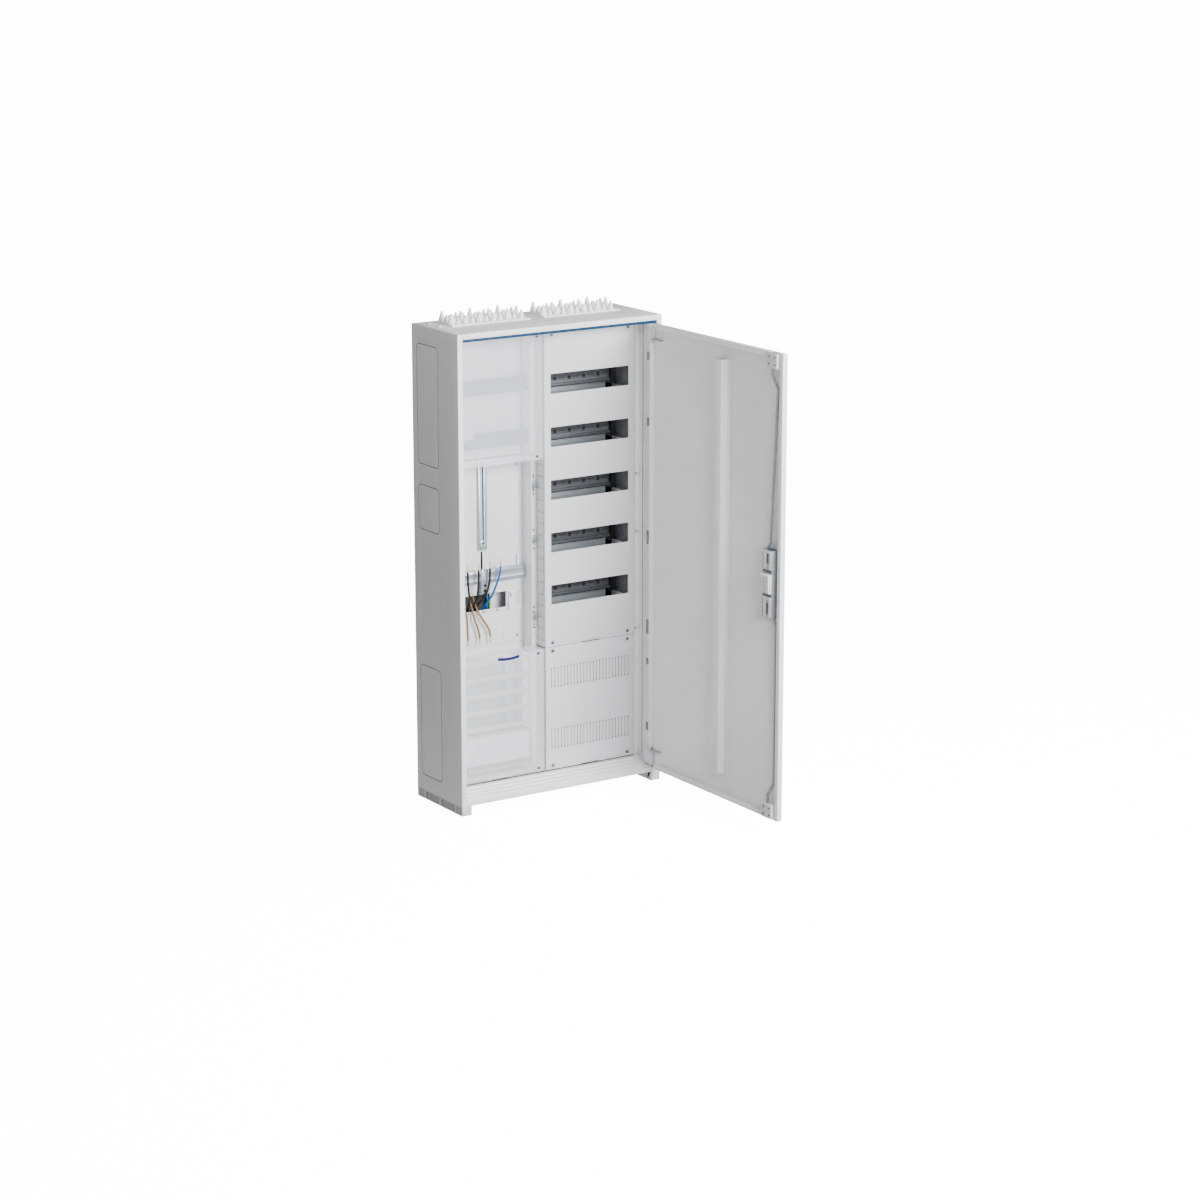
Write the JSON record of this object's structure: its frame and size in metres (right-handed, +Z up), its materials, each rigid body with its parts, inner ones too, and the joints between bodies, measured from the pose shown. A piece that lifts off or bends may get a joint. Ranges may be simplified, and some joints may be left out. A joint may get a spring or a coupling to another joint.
{
  "type": "electrical distribution cabinet",
  "caption": "Sheet steel meter and distribution cabinet with two fields, clear and slotted covers, cone cable entries and a hinged door with rod lock.",
  "frame": {"origin": "middle of the four wall fixing holes, on the rear face", "axes": "+X right seen from the front, +Y to the wall, +Z up"},
  "size_m": [0.55, 0.7177, 1.149],
  "materials": {
    "powder_coat": "fine textured white powder coat",
    "white_plastic": "moulded white ABS",
    "foot_plastic": "moulded pale grey",
    "blue_strip": "plain blue extruded strip",
    "navy_strip": "dark blue moulded strip",
    "galvanised": "zinc-coated sheet steel",
    "zinc_sheet": "dull passivated zinc sheet",
    "lock_zinc": "bright zinc plate",
    "steel_pin": "plated steel",
    "copper_tinned": "tinned copper bar",
    "grey_plastic": "moulded dark grey polyamide",
    "brass": "plain brass",
    "clear_plastic": "clear moulded polycarbonate",
    "pale_cover": "pale moulded polystyrene",
    "black_pvc": "PVC insulation",
    "blue_pvc": "PVC insulation",
    "earth_pvc": "green and yellow PVC insulation",
    "brown_pvc": "PVC insulation",
    "bare_copper": "stripped conductor"
  },
  "bodies": {
    "cabinet": {"side_wall_left": "powder_coat", "side_wall_right": "powder_coat", "top_panel": "powder_coat", "bottom_panel": "powder_coat", "back_panel": "zinc_sheet", "slot_profiles": "powder_coat", "sill_profile": "powder_coat", "entry_plate_left": "white_plastic", "entry_plate_right": "white_plastic", "feet": "foot_plastic", "header_strip": "blue_strip", "field_posts": "powder_coat", "post_blocks": "white_plastic", "device_rails": "zinc_sheet", "spare_rails": "zinc_sheet", "perforated_plate": "white_plastic", "meter_plate": "white_plastic", "meter_track": "galvanised", "cross_rail": "galvanised", "window_frame": "white_plastic", "socket_plate": "white_plastic", "busbars": "copper_tinned", "busbar_holders": "white_plastic", "touch_guard": "white_plastic", "feed_terminals": "grey_plastic", "earth_bar": "brass", "hinge_blocks": "white_plastic", "hinge_pins": "steel_pin", "wire_black_1": "black_pvc", "wire_black_2": "black_pvc", "wire_black_3": "black_pvc", "wire_blue_1": "blue_pvc", "wire_blue_2": "blue_pvc", "wire_earth": "earth_pvc", "wire_brown_1": "brown_pvc", "wire_brown_2": "brown_pvc", "wire_brown_3": "brown_pvc", "wire_tips": "bare_copper"},
    "door": {"door_panel": "powder_coat", "door_stiffener": "powder_coat", "door_screws": "steel_pin", "hinge_leaves": "lock_zinc", "lock_case": "lock_zinc", "lock_cover": "white_plastic", "rod_guides": "white_plastic"},
    "lock_handle": {"door_handle": "grey_plastic", "lock_pinion": "steel_pin"},
    "upper_rod": {"rod_upper": "lock_zinc"},
    "lower_rod": {"rod_lower": "lock_zinc"},
    "upper_left_cover": {"cover_upper_left": "clear_plastic", "screws_upper_left": "steel_pin"},
    "lower_left_cover": {"cover_lower_left": "clear_plastic", "screws_lower_left": "steel_pin", "grip_strip": "navy_strip"},
    "upper_right_cover": {"cover_upper_right": "white_plastic", "screws_upper_right": "steel_pin"},
    "lower_right_cover": {"cover_lower_right": "pale_cover", "screws_lower_right": "steel_pin"},
    "slider": {"track_slider": "galvanised"},
    "hanger": {"rail_hanger": "galvanised"}
  },
  "joints": [
    {"name": "door_hinge", "type": "hinge", "parent": "cabinet", "child": "door", "pos_m": [0.256, -0.201, 0], "axis": [0, 0, 1], "range_deg": [-90, 20]},
    {"name": "handle_turn", "type": "hinge", "parent": "door", "child": "lock_handle", "pos_m": [0.25, -0.6767, 0.008], "axis": [1, 0, 0], "range_deg": [0, 90]},
    {"name": "upper_rod_slide", "type": "slide", "parent": "door", "child": "upper_rod", "axis": [0, 0, 1], "range_m": [0, 0.015]},
    {"name": "lower_rod_slide", "type": "slide", "parent": "door", "child": "lower_rod", "axis": [0, 0, -1], "range_m": [0, 0.015]},
    {"name": "upper_left_cover_off", "type": "slide", "parent": "cabinet", "child": "upper_left_cover", "axis": [0, -1, 0], "range_m": [0, 0.04]},
    {"name": "lower_left_cover_off", "type": "slide", "parent": "cabinet", "child": "lower_left_cover", "axis": [0, -1, 0], "range_m": [0, 0.04]},
    {"name": "upper_right_cover_off", "type": "slide", "parent": "cabinet", "child": "upper_right_cover", "axis": [0, -1, 0], "range_m": [0, 0.04]},
    {"name": "lower_right_cover_off", "type": "slide", "parent": "cabinet", "child": "lower_right_cover", "axis": [0, -1, 0], "range_m": [0, 0.04]},
    {"name": "slider_travel", "type": "slide", "parent": "cabinet", "child": "slider", "axis": [0, 0, 1], "range_m": [0, 0.18]},
    {"name": "hanger_travel", "type": "slide", "parent": "cabinet", "child": "hanger", "axis": [1, 0, 0], "range_m": [-0.08, 0.08]}
  ],
  "couplings": [
    {"joint": "upper_rod_slide", "follows": "handle_turn", "m_per_rad": 0.0095},
    {"joint": "lower_rod_slide", "follows": "handle_turn", "m_per_rad": 0.0095}
  ]
}
